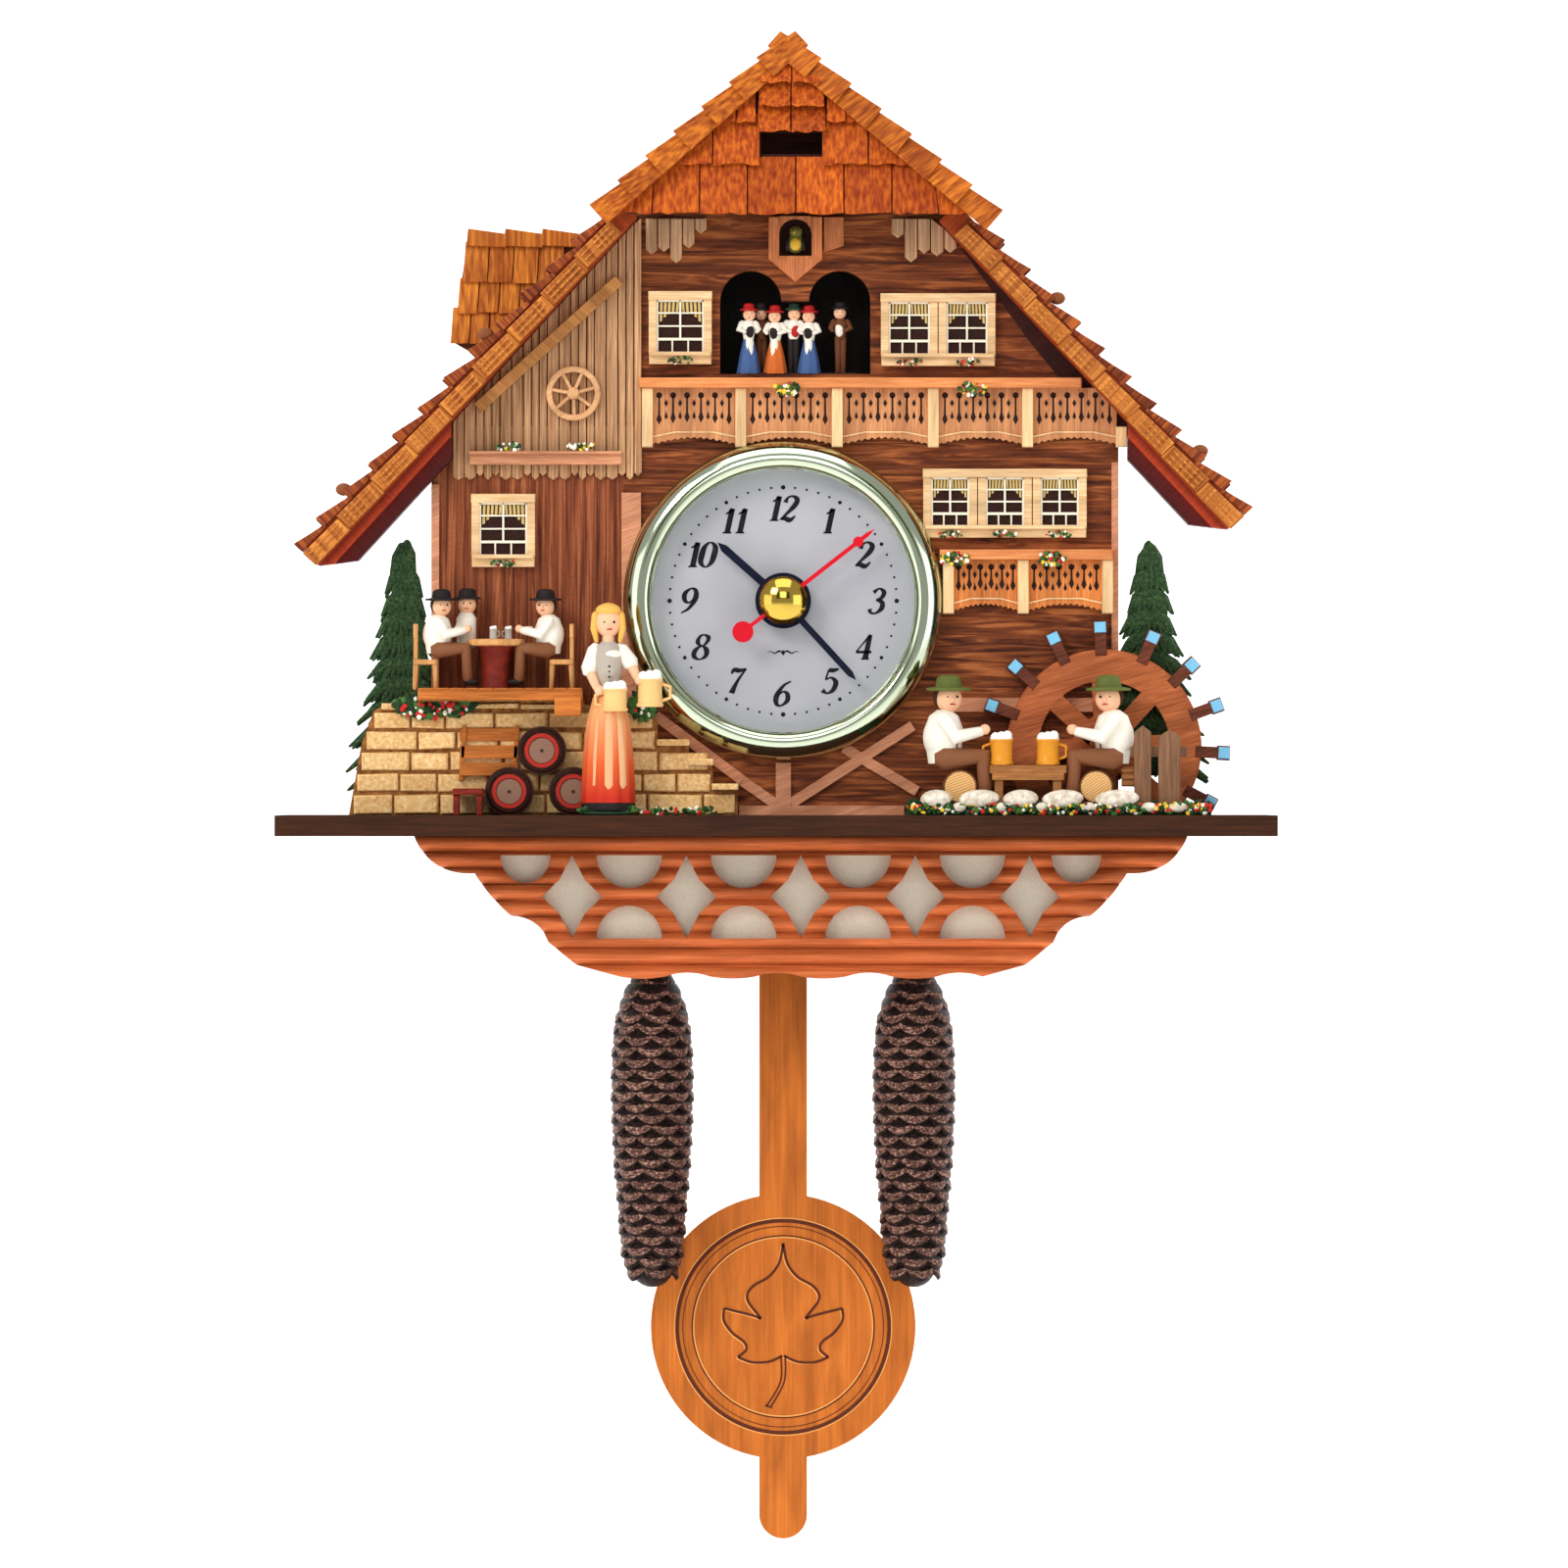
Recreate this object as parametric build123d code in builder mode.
from build123d import *
import os
from math import atan2, cos, degrees, hypot, radians, sin, sqrt

# Wall clock in the style of a chalet: relief boards on one thin front, a quartz movement behind the dial,
# and a battery pendulum drive behind the skirt.  Millimetres, +Z up, the wall is the plane Y = 0 and the
# front looks along -Y.  The origin is the keyhole of the hanger plate.  A depth is a distance in front of
# the wall, so depth d lies at Y = -d.

# ---- driving dimensions ----
COVER = 3.0              # rear cover
CASE_DEPTH = 33.0        # wall to the back of the front board
BOARD = 4.0              # front board
FACE = CASE_DEPTH + BOARD
CASE_HALF = 48.0         # case, half width
CASE_TOP = 13.0
PLY = 4.0                # case sides
GROUND = -116.1          # top of the shelf
SHELF = 4.8
SHELF_FRONT = 60.0       # shelf, wall to front edge
WALL_LEFT, WALL_RIGHT = -81.4, 77.6
HIP_APEX = (1.1, 65.1)
HIP_BASE_Z = 22.5
HIP_LEFT, HIP_RIGHT = -43.8, 49.9
HIP_DEPTH, HIP_TOP_DEPTH = 53.0, 41.0
DIAL_Z = -66.5
RING_R = 32.9            # quartz insert, outer radius
BEZEL_R = 36.75
SKIRT_X = 4.1
SKIRT_DEPTH = 37.0
SKIRT_BOARD = 3.5
DRIVE_PIVOT_Z = -125.5
BOB_Z = -236.0
BOB_R = 31.0
CONE_X = 30.5
CONE_DEPTH = 20.0
CONE_PIN_Z = -146.0
EAVES = 58.6             # down a roof slope, where it leaves the wall and grows its eaves boards
FIT = 0.05               # radial clearance of a running fit

os.makedirs("parts", exist_ok=True)


def face(depth):
    """Plane parallel to the wall at a depth in front of it, its normal away from the wall."""
    return Plane.XZ.offset(depth)


def block(x0, x1, d0, d1, z0, z1, mode=Mode.ADD):
    """Box between two widths, two depths and two heights, in the open part."""
    with Locations(((x0 + x1) / 2, -(d0 + d1) / 2, (z0 + z1) / 2)):
        Box(x1 - x0, d1 - d0, z1 - z0, mode=mode)


def rod(x, z, d0, d1, radius, mode=Mode.ADD):
    """Round bar square to the wall between two depths, in the open part."""
    with Locations((x, -(d0 + d1) / 2, z)):
        Cylinder(radius, d1 - d0, rotation=(90, 0, 0), mode=mode)


def bar(p, q, width, mode=Mode.ADD):
    """Straight bar from p to q, in the open sketch."""
    run = (q[0] - p[0], q[1] - p[1])
    middle = ((p[0] + q[0]) / 2, (p[1] + q[1]) / 2, 0)
    with Locations(Location(middle, (0, 0, degrees(atan2(run[1], run[0]))))):
        Rectangle(hypot(*run), width, mode=mode)


def panel(x0, x1, z0, z1, mode=Mode.ADD):
    """Upright rectangle, in the open sketch."""
    with Locations(((x0 + x1) / 2, (z0 + z1) / 2)):
        Rectangle(x1 - x0, z1 - z0, mode=mode)


class Slope:
    """One roof slope seen from the front: s runs down the slope from the top, n square to it, upwards."""

    def __init__(self, side, top, pitch, length):
        self.down = (side * cos(radians(pitch)), -sin(radians(pitch)))
        self.out = (side * sin(radians(pitch)), cos(radians(pitch)))
        self.top = top
        self.length = length
        self.side = side

    def at(self, s, n):
        """Point at s down the outer edge and n below it."""
        x = self.top[0] + s * self.down[0] - n * self.out[0]
        return (x, self.top[1] + s * self.down[1] - n * self.out[1])


LEFT_SLOPE = Slope(-1, (-42.2, 22.7), 47.6, 104.3)
RIGHT_SLOPE = Slope(1, (44.5, 22.0), 46.9, 92.9)
COVER_N, VERGE_N, FASCIA_N, SOFFIT_N = 2.4, 6.8, 9.3, 12.7   # lower edge of each band, below the outer edge

# ================= front board =================
ARCH_LEFT, ARCH_RIGHT, ARCH_TOP, ARCH_BOTTOM, ARCH_R = -14.6, 20.2, 9.9, -14.0, 7.1
NICHE = (-0.9, 6.6, 13.2, 21.8)
BOARD_N = VERGE_N - 2.0


def under_roof(slope, x, n):
    """Height on the line n below the slope's outer edge, at x."""
    start = slope.at(0, n)
    return start[1] + (x - start[0]) * slope.down[1] / slope.down[0]


def clear_of(slope):
    """Cut away what would stand in a slope's verge, in the open sketch."""
    reach = slope.length + 5
    Polygon(
        slope.at(-15, -25),
        slope.at(reach, -25),
        slope.at(reach, VERGE_N + 0.1),
        slope.at(-15, VERGE_N + 0.1),
        mode=Mode.SUBTRACT,
    )


def arch_outline():
    """Double arch with a lobe hanging between its two crowns, in the open sketch."""
    panel(ARCH_LEFT, ARCH_RIGHT, ARCH_BOTTOM, ARCH_TOP - ARCH_R)
    with Locations((ARCH_LEFT + ARCH_R, ARCH_TOP - ARCH_R), (ARCH_RIGHT - ARCH_R, ARCH_TOP - ARCH_R)):
        Circle(ARCH_R)


with BuildPart() as facade_board:
    with BuildSketch(face(CASE_DEPTH)):
        with BuildLine():
            Polyline(
                (WALL_LEFT, GROUND),
                (WALL_LEFT, under_roof(LEFT_SLOPE, WALL_LEFT, BOARD_N)),
                (HIP_LEFT + 5, under_roof(LEFT_SLOPE, HIP_LEFT + 5, BOARD_N)),
                (HIP_LEFT + 5, HIP_BASE_Z + 2),
                (HIP_APEX[0], HIP_APEX[1] - 5),
                (HIP_RIGHT - 7, HIP_BASE_Z + 2),
                (HIP_RIGHT - 7, under_roof(RIGHT_SLOPE, HIP_RIGHT - 7, BOARD_N)),
                (WALL_RIGHT, under_roof(RIGHT_SLOPE, WALL_RIGHT, BOARD_N)),
                (WALL_RIGHT, GROUND),
                close=True,
            )
        make_face()
        with Locations((0, DIAL_Z)):
            Circle(RING_R + FIT, mode=Mode.SUBTRACT)
    extrude(amount=BOARD)
    with BuildSketch(face(CASE_DEPTH)):
        arch_outline()
    extrude(amount=BOARD, mode=Mode.SUBTRACT)
    block(NICHE[0], NICHE[1], FACE - 3, FACE, NICHE[2], NICHE[3], Mode.SUBTRACT)
facade_board.part.label = "facade_board"
export_step(facade_board.part, "parts/facade_board.step")

# ================= boarded gable on the left =================
GABLE_LEFT, GABLE_RIGHT, GABLE_BOTTOM, PLANKS = -76.5, -32.7, -38.0, 8
PLANK_W = (GABLE_RIGHT - GABLE_LEFT) / PLANKS
GABLE_T = 1.6
with BuildPart() as gable_planks:
    with BuildSketch(face(FACE)):
        panel(GABLE_LEFT, GABLE_RIGHT, GABLE_BOTTOM, HIP_BASE_Z - 0.5)
        clear_of(LEFT_SLOPE)
        for i in range(PLANKS):
            with Locations((GABLE_LEFT + (i + 0.5) * PLANK_W, GABLE_BOTTOM)):
                Circle(PLANK_W / 2 - 0.3)
    extrude(amount=GABLE_T)
    for i in range(1, PLANKS):
        groove = GABLE_LEFT + i * PLANK_W
        low = GABLE_BOTTOM - 3
        block(groove - 0.3, groove + 0.3, FACE + GABLE_T - 0.5, FACE + GABLE_T, low, 30, Mode.SUBTRACT)
    with BuildSketch(face(FACE + GABLE_T)):
        bar((-70.8, -22.2), (-37.7, 7.9), 2.6)
        panel(-72.6, -37.2, -35.1, -32.0)
    extrude(amount=2.0)
    block(-72.6, -37.2, FACE + GABLE_T, FACE + GABLE_T + 3.5, -33.0, -32.0)
gable_planks.part.label = "gable_planks"
export_step(gable_planks.part, "parts/gable_planks.step")

# ---- spoked wheel hung on the gable ----
HUB_X, HUB_Z, HUB_RIM = -48.5, -18.6, 6.3
with BuildPart() as wagon_wheel:
    with BuildSketch(face(FACE + GABLE_T)):
        with Locations((HUB_X, HUB_Z)):
            Circle(HUB_RIM)
            Circle(HUB_RIM - 1.3, mode=Mode.SUBTRACT)
            Circle(1.5)
            for turn in range(0, 180, 45):
                Rectangle(2 * HUB_RIM - 1.5, 0.9, rotation=turn + 10)
    extrude(amount=1.6)
wagon_wheel.part.label = "wagon_wheel"
export_step(wagon_wheel.part, "parts/wagon_wheel.step")

# ---- pale hanging boards under the hip, pointed at the foot ----


def pickets(x0, x1, z_top, z_feet):
    """Row of joined upright boards, each with a pointed foot, in the open sketch."""
    width = (x1 - x0) / len(z_feet)
    for i, foot in enumerate(z_feet):
        left = x0 + i * width
        right = left + width
        Polygon((left, foot + 2), (left, z_top), (right, z_top), (right, foot + 2), (left + width / 2, foot))


with BuildPart() as hanging_boards:
    with BuildSketch(face(FACE)):
        pickets(-32.0, -18.0, 22.0, (8.5, 10.5, 13.0, 16.0))
        pickets(25.0, 41.0, 22.0, (15.0, 13.5, 12.0, 12.5))
        clear_of(RIGHT_SLOPE)
    extrude(amount=1.5)
hanging_boards.part.label = "hanging_boards"
export_step(hanging_boards.part, "parts/hanging_boards.step")

# ================= timber framing =================
TIMBER_T = 1.0
with BuildPart() as timber_frame:
    with BuildSketch(face(FACE)):
        panel(WALL_LEFT, WALL_LEFT + 1.8, -86.8, -39.6)
        panel(WALL_RIGHT - 1.6, WALL_RIGHT, GROUND, -34.5)
        panel(-37.4, -32.9, -90.0, -41.5)
        panel(37.0, WALL_RIGHT - 1.6, -92.2, -89.0)
        panel(-10.2, 28.0, GROUND, -113.9)
        panel(-1.7, 1.8, -113.9, -104.0)
        bar((-10.2, -107.6), (-1.7, -113.6), 2.4)
        bar((1.8, -113.4), (30.0, -95.4), 2.4)
        bar((14.0, -100.5), (31.0, -110.6), 2.4)
        with Locations((0, DIAL_Z)):
            Circle(BEZEL_R + 0.2, mode=Mode.SUBTRACT)
    extrude(amount=TIMBER_T)
timber_frame.part.label = "timber_frame"
export_step(timber_frame.part, "parts/timber_frame.step")

# ================= main roof =================
ROOF_FRONT = 47.5
FASCIA_FRONT = 46.3
SOFFIT_FRONT = 44.5
UNDER_HIP = 5.0
for name, slope in (("roof_slope_left", LEFT_SLOPE), ("roof_slope_right", RIGHT_SLOPE)):
    end = slope.length
    with BuildPart() as roof_slope:
        with BuildSketch(face(FACE)):
            Polygon(
                slope.at(-UNDER_HIP, 1.2),
                slope.at(end - 2.0, 1.2),
                slope.at(end - 0.5, VERGE_N),
                slope.at(-UNDER_HIP, VERGE_N),
            )
        extrude(amount=ROOF_FRONT - FACE)
        with BuildSketch(face(FACE)):
            Polygon(
                slope.at(EAVES, VERGE_N),
                slope.at(end - 0.5, VERGE_N),
                slope.at(end - 3.4, FASCIA_N),
                slope.at(EAVES + 2.7, FASCIA_N),
            )
        extrude(amount=FASCIA_FRONT - FACE)
        with BuildSketch(face(FACE)):
            Polygon(
                slope.at(EAVES + 2.7, FASCIA_N),
                slope.at(end - 3.4, FASCIA_N),
                slope.at(end - 7.5, SOFFIT_N),
                slope.at(EAVES + 6.3, SOFFIT_N),
            )
        extrude(amount=SOFFIT_FRONT - FACE)
    roof_slope.part.label = name
    export_step(roof_slope.part, f"parts/{name}.step")

# ---- verge tiles along both slopes, each lapping over the next one down ----
TILE_L, TILE_T = 10.5, 2.4
with BuildPart() as verge_tiles:
    for slope in (LEFT_SLOPE, RIGHT_SLOPE):
        count = int(slope.length / TILE_L)
        pitch = slope.length / count
        for i in range(count):
            with BuildSketch(face(ROOF_FRONT)):
                Polygon(
                    slope.at(i * pitch + 0.1, COVER_N + 0.2),
                    slope.at((i + 1) * pitch - 0.1, COVER_N - 0.2),
                    slope.at((i + 1) * pitch - 0.1, VERGE_N - 0.2),
                    slope.at(i * pitch + 0.1, VERGE_N),
                )
            extrude(amount=TILE_T)
            # thin shingle lying on the slope, its foot lifted over the next one
            with BuildSketch(face(FACE + 1)):
                Polygon(
                    slope.at(i * pitch + 0.1, 1.2),
                    slope.at((i + 1) * pitch - 0.1, 1.2),
                    slope.at((i + 1) * pitch - 0.1, 0.0),
                    slope.at(i * pitch + 0.1, 0.8),
                )
            extrude(amount=ROOF_FRONT - FACE)
verge_tiles.part.label = "verge_tiles"
export_step(verge_tiles.part, "parts/verge_tiles.step")

# ================= hipped end of the roof =================
HIP_RISE = HIP_APEX[1] - HIP_BASE_Z
HIP_TILT = degrees(atan2(HIP_DEPTH - HIP_TOP_DEPTH, HIP_RISE))
HIP_SCALE = 1 / cos(radians(HIP_TILT))
HIP_NORMAL = (0, -cos(radians(HIP_TILT)), sin(radians(HIP_TILT)))
HIP_PLANE = Plane(origin=(0, -HIP_DEPTH, HIP_BASE_Z), x_dir=(1, 0, 0), z_dir=HIP_NORMAL)


def hip_up(z):
    """Distance up the hip plane of a height."""
    return (z - HIP_BASE_Z) * HIP_SCALE


with BuildPart() as hip_roof:
    with BuildSketch(face(FACE)):
        Polygon((HIP_LEFT + 3, HIP_BASE_Z), (HIP_APEX[0], HIP_APEX[1] - 2.5), (HIP_RIGHT - 3, HIP_BASE_Z))
    extrude(amount=HIP_DEPTH)
    split(bisect_by=HIP_PLANE, keep=Keep.BOTTOM)
    low, high = HIP_BASE_Z - 5, HIP_BASE_Z + 5
    block(HIP_LEFT - 5, HIP_RIGHT + 5, FACE, SOFFIT_FRONT + 4, low, high, Mode.SUBTRACT)
    block(-5.0, 8.8, FACE + 4, HIP_DEPTH, 36.1, 41.1, Mode.SUBTRACT)
hip_roof.part.label = "hip_roof"
export_step(hip_roof.part, "parts/hip_roof.step")

# ---- shingles on the hip: rows of (z bottom, z top, left, right, shingles) ----
HIP_ROWS = (
    (22.0, 33.1, -38.3, 45.4, 8),
    (33.6, 43.8, -26.6, -5.3, 2),
    (33.6, 43.8, 8.9, 30.6, 2),
    (44.2, 52.0, -15.4, -6.2, 1),
    (44.2, 52.0, 10.0, 20.0, 1),
    (41.3, 47.2, -5.9, 9.8, 2),
    (47.6, 52.6, -5.7, 9.6, 2),
    (53.0, 58.8, -5.2, 8.6, 2),
)
SHINGLE_T = 1.4
with BuildPart() as hip_shingles:
    for z0, z1, x0, x1, count in HIP_ROWS:
        pitch = (x1 - x0) / count
        for i in range(count):
            with BuildSketch(HIP_PLANE):
                panel(x0 + i * pitch + 0.15, x0 + (i + 1) * pitch - 0.15, hip_up(z0), hip_up(z1))
            extrude(amount=SHINGLE_T)
    # lapped tiles along the two sloping edges
    for side, foot in ((-1, HIP_LEFT), (1, HIP_RIGHT)):
        apex = (HIP_APEX[0], hip_up(HIP_APEX[1]))
        edge_x, edge_z = foot - apex[0], -apex[1]
        length = hypot(edge_x, edge_z)
        turn = degrees(atan2(edge_z, edge_x))
        for i in range(7):
            share = (i + 0.5) / 7
            centre = (apex[0] + share * edge_x - side * 1.2, apex[1] + share * edge_z - 1.6)
            with BuildSketch(HIP_PLANE.offset(SHINGLE_T)):
                with Locations(Location((centre[0], centre[1], 0), (0, 0, turn))):
                    Rectangle(length / 7 - 0.4, 5.6)
            extrude(amount=SHINGLE_T)
hip_shingles.part.label = "hip_shingles"
export_step(hip_shingles.part, "parts/hip_shingles.step")

# ================= roof of the annex behind the left slope =================
ANNEX_ROWS = 4
ANNEX_TOP, ANNEX_FOOT = 19.8, -7.0
with BuildPart() as annex_roof:
    with BuildSketch(face(CASE_DEPTH - 3)):
        Polygon(
            (-73.3, ANNEX_TOP), (-48.2, ANNEX_TOP - 0.8), (-48.2, 2.0), (-68.0, -14.0), (-77.1, ANNEX_FOOT)
        )
    extrude(amount=3)
    row_height = (ANNEX_TOP - ANNEX_FOOT) / ANNEX_ROWS
    for i in range(ANNEX_ROWS):
        low = ANNEX_FOOT + i * row_height
        right = -60.0 if low > 0 else -66.0
        block(-76.0, right, CASE_DEPTH, CASE_DEPTH + 1.5, low + 0.4, low + row_height - 0.4)
    block(-60.0, -51.0, CASE_DEPTH, CASE_DEPTH + 1.5, 10.0, ANNEX_TOP - 1.2)
annex_roof.part.label = "annex_roof"
export_step(annex_roof.part, "parts/annex_roof.step")

# ================= windows =================
PANE_T, WINDOW_T = 0.4, 1.8
WINDOW_BORDER = 2.2
WINDOWS = (
    (-31.2, -16.4, -12.0, 5.1, 1),
    (22.5, 49.2, -12.4, 4.6, 2),
    (32.3, 70.3, -52.1, -36.0, 3),
    (-72.2, -57.3, -58.9, -41.8, 1),
)


def window_outline(x0, x1, z0, z1, sashes):
    """Frame with its sashes, each of two panes across and four up, in the open sketch."""
    panel(x0, x1, z0, z1)
    field = (x1 - x0 - 2 * WINDOW_BORDER) / sashes
    for s in range(sashes):
        left = x0 + WINDOW_BORDER + s * field + 1.0
        pane_w = (field - 2.0) / 2
        pane_h = (z1 - z0 - 5.4) / 4
        for column in range(2):
            for row in range(4):
                px = left + column * pane_w
                pz = z0 + 3.2 + row * pane_h
                panel(px + 0.25, px + pane_w - 0.25, pz + 0.25, pz + pane_h - 0.25, Mode.SUBTRACT)


with BuildPart() as window_frames:
    with BuildSketch(face(FACE + PANE_T)):
        for window in WINDOWS:
            window_outline(*window)
    extrude(amount=WINDOW_T)
    for x0, x1, z0, z1, sashes in WINDOWS:
        block(x0, x1, FACE + PANE_T, FACE + PANE_T + 3.0, z0, z0 + 1.6)
    rod(0, DIAL_Z, FACE, FACE + 5, BEZEL_R + 0.2, Mode.SUBTRACT)
window_frames.part.label = "window_frames"
export_step(window_frames.part, "parts/window_frames.step")

with BuildPart() as window_panes:
    with BuildSketch(face(FACE)):
        for x0, x1, z0, z1, sashes in WINDOWS:
            panel(x0 + 1, x1 - 1, z0 + 1, z1 - 1)
        with Locations((0, DIAL_Z)):
            Circle(BEZEL_R + 0.2, mode=Mode.SUBTRACT)
    extrude(amount=PANE_T)
window_panes.part.label = "window_panes"
export_step(window_panes.part, "parts/window_panes.step")

# ================= balconies =================
RAIL_T = 4.6
PANEL_T = 1.6
PANEL_ARCH = 2.2
UPPER_POSTS = (-31.4, -9.8, 12.5, 34.7, 56.5)
END_POST = 79.2
LOWER_POSTS = (37.0, 55.5, 74.6)
POST_W = 2.3
with BuildPart() as balcony_rails:
    block(-32.6, 69.2, FACE, FACE + RAIL_T, -17.5, -15.0)
    for x in UPPER_POSTS:
        foot = -29.2 if abs(x) < 20 else -31.5
        block(x - POST_W / 2, x + POST_W / 2, FACE, FACE + RAIL_T - 1.0, foot, -17.5)
    block(END_POST - POST_W / 2, END_POST, FACE, FACE + RAIL_T - 1.0, -31.5, -26.5)
    block(37.2, 75.9, FACE, FACE + RAIL_T, -56.4, -54.7)
    for x in LOWER_POSTS[1:]:
        block(x - POST_W / 2, x + POST_W / 2, FACE, FACE + RAIL_T - 1.0, -70.9, -56.4)
balcony_rails.part.label = "balcony_rails"
export_step(balcony_rails.part, "parts/balcony_rails.step")


def balcony_panel(x0, x1, z_top, z_foot):
    """Fretwork panel with an arched foot and a row of keyhole cuts, in the open sketch."""
    panel(x0, x1, z_foot, z_top)
    half = (x1 - x0) / 2
    radius = (half ** 2 + PANEL_ARCH ** 2) / (2 * PANEL_ARCH)
    with Locations((x0 + half, z_foot + PANEL_ARCH - radius)):
        Circle(radius, mode=Mode.SUBTRACT)
    cuts = 5
    pitch = (x1 - x0) / cuts
    for i in range(cuts):
        x = x0 + (i + 0.5) * pitch
        with Locations((x, z_top - 3.0), (x, z_foot + 4.6)):
            Circle(0.9, mode=Mode.SUBTRACT)
        panel(x - 0.45, x + 0.45, z_foot + 4.6, z_top - 3.0, Mode.SUBTRACT)


with BuildPart() as balcony_panels:
    with BuildSketch(face(FACE + 1.0)):
        for left, right in zip(UPPER_POSTS, UPPER_POSTS[1:] + (END_POST - 1.2,)):
            balcony_panel(left + POST_W / 2, right - POST_W / 2, -17.5, -29.2)
        clear_of(RIGHT_SLOPE)
    extrude(amount=PANEL_T)
    with BuildSketch(face(FACE + 1.0)):
        for left, right in zip(LOWER_POSTS, LOWER_POSTS[1:]):
            balcony_panel(left + POST_W / 2, right - POST_W / 2, -56.4, -70.5)
    extrude(amount=PANEL_T)
balcony_panels.part.label = "balcony_panels"
export_step(balcony_panels.part, "parts/balcony_panels.step")

# ================= bird house and bird =================
with BuildPart() as bird_house:
    with BuildSketch(face(FACE)):
        Polygon((-4.1, 21.9), (8.4, 21.9), (9.4, 15.0), (7.0, 11.0), (2.8, 7.6), (-1.4, 11.0), (-3.8, 15.0))
        panel(NICHE[0], NICHE[1], NICHE[2], NICHE[3], Mode.SUBTRACT)
    extrude(amount=3.0)
bird_house.part.label = "bird_house"
export_step(bird_house.part, "parts/bird_house.step")

with BuildPart() as cuckoo_bird:
    with Locations((2.8, -FACE, 17.0)):
        Sphere(2.4)
    with Locations((2.8, -FACE - 1.0, 19.2)):
        Sphere(1.5)
    block(-0.9, 6.6, FACE - 3, FACE - 0.5, 13.2, 14.2)
    block(2.3, 3.3, FACE - 1.5, FACE - 0.5, 14.0, 16.0)
cuckoo_bird.part.label = "cuckoo_bird"
export_step(cuckoo_bird.part, "parts/cuckoo_bird.step")

# ================= stage behind the double arch =================
STAGE_BACK = 20.0
STAGE_WALL = 1.5
STAGE_TOP = 12.0
with BuildPart() as stage_box:
    left, right = ARCH_LEFT - STAGE_WALL, ARCH_RIGHT + STAGE_WALL
    block(left, right, STAGE_BACK, CASE_DEPTH, ARCH_BOTTOM - STAGE_WALL, STAGE_TOP)
    back, roof = STAGE_BACK + STAGE_WALL, STAGE_TOP - STAGE_WALL
    block(ARCH_LEFT, ARCH_RIGHT, back, CASE_DEPTH, ARCH_BOTTOM, roof, Mode.SUBTRACT)
stage_box.part.label = "stage_box"
export_step(stage_box.part, "parts/stage_box.step")


def figure(x, depth, z, tall, girth, lean=0.0):
    """Plain standing figure: skirt or trousers, body, head and hat, in the open part."""
    head = 0.11 * tall
    with Locations((x, -depth, z + 0.26 * tall)):
        Cone(girth, girth * 0.6, 0.52 * tall)
    with Locations((x + lean / 2, -depth, z + 0.64 * tall)):
        Cone(girth * 0.6, girth * 0.72, 0.28 * tall)
    with Locations((x + lean, -depth, z + 0.86 * tall)):
        Sphere(head)
    with Locations((x + lean, -depth, z + 0.95 * tall)):
        Cone(head * 1.2, head * 0.7, 0.1 * tall)


DANCER_FLOOR = ARCH_BOTTOM
# place across, height and depth of each dancer
TROUPE = (
    (-7.6, 16.4, 31), (-4.7, 16.6, 27), (-1.6, 16.0, 32.2),
    (2.5, 17.6, 28), (5.9, 15.6, 31.5), (13.4, 17.4, 28.5),
)
with BuildPart() as dancers:
    for x, tall, depth in TROUPE:
        figure(x, depth, DANCER_FLOOR, tall, 2.3)
dancers.part.label = "dancers"
export_step(dancers.part, "parts/dancers.step")

# ================= shelf and skirt =================
with BuildPart() as shelf:
    block(-116.6, 113.4, COVER, SHELF_FRONT, GROUND - SHELF, GROUND)
shelf.part.label = "shelf"
export_step(shelf.part, "parts/shelf.step")

SKIRT_TOP = GROUND - SHELF
SKIRT_FOOT = -153.0
SKIRT_BACK = SKIRT_DEPTH - SKIRT_BOARD
BEADS = 8
STAR_PITCH = 26.5
STAR = ((-7, 0), (-3.0, 3.9), (0, 9.6), (3.0, 3.9), (7, 0), (3.0, -3.9), (0, -9.6), (-3.0, -3.9))
END_MOON = 63.8          # outermost half moons, from the middle of the skirt
MOON_Z = -125.4


def skirt_side(side):
    """Outline of one half, three concave steps from the shelf down to the wavy foot."""
    return [
        (SKIRT_X + side * 89.6, SKIRT_TOP),
        (SKIRT_X + side * 84.5, -127.5),
        (SKIRT_X + side * 75.5, -129.6),
        (SKIRT_X + side * 72.0, -134.5),
        (SKIRT_X + side * 67.0, -139.5),
        (SKIRT_X + side * 61.0, -141.6),
        (SKIRT_X + side * 58.5, -145.5),
        (SKIRT_X + side * 52.0, -150.8),
        (SKIRT_X + side * 42.0, SKIRT_FOOT - 0.5),
    ]


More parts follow.
